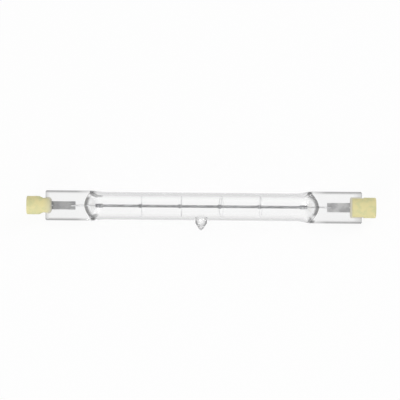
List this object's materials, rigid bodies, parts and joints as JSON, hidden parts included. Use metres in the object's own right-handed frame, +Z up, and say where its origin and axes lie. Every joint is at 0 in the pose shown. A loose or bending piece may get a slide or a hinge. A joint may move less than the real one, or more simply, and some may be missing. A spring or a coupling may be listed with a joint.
{
  "type": "linear halogen bulb",
  "caption": "Double-ended linear halogen bulb: clear quartz tube with flat pinched ends, coiled filament on wire supports, exhaust tip, and pale ceramic ends with recessed contacts.",
  "frame": {"origin": "middle of the filament, on the lamp's axis", "axes": "+X along the lamp towards the end with the straight ceramic cap, +Z up as the lamp lies on its tube and on the nose of its exhaust tip, which points to -Y"},
  "size_m": [0.1176, 0.0119, 0.0093],
  "materials": {
    "quartz": "polished",
    "tungsten": "satin",
    "molybdenum": "satin",
    "ceramic": "matte",
    "cement": "matte",
    "nickel": "satin"
  },
  "bodies": {
    "root": {"quartz_envelope": "quartz", "filament_coil": "tungsten", "coil_sleeve_left": "tungsten", "coil_sleeve_right": "tungsten", "inner_lead_left": "tungsten", "inner_lead_right": "tungsten", "foil_left": "molybdenum", "foil_right": "molybdenum", "outer_lead_left": "molybdenum", "outer_lead_right": "molybdenum", "cement_left": "cement", "cement_right": "cement", "ceramic_cap_left": "ceramic", "ceramic_cap_right": "ceramic", "contact_left": "nickel", "contact_right": "nickel", "filament_support_1": "tungsten", "filament_support_2": "tungsten", "filament_support_3": "tungsten", "filament_support_4": "tungsten"}
  },
  "joints": []
}
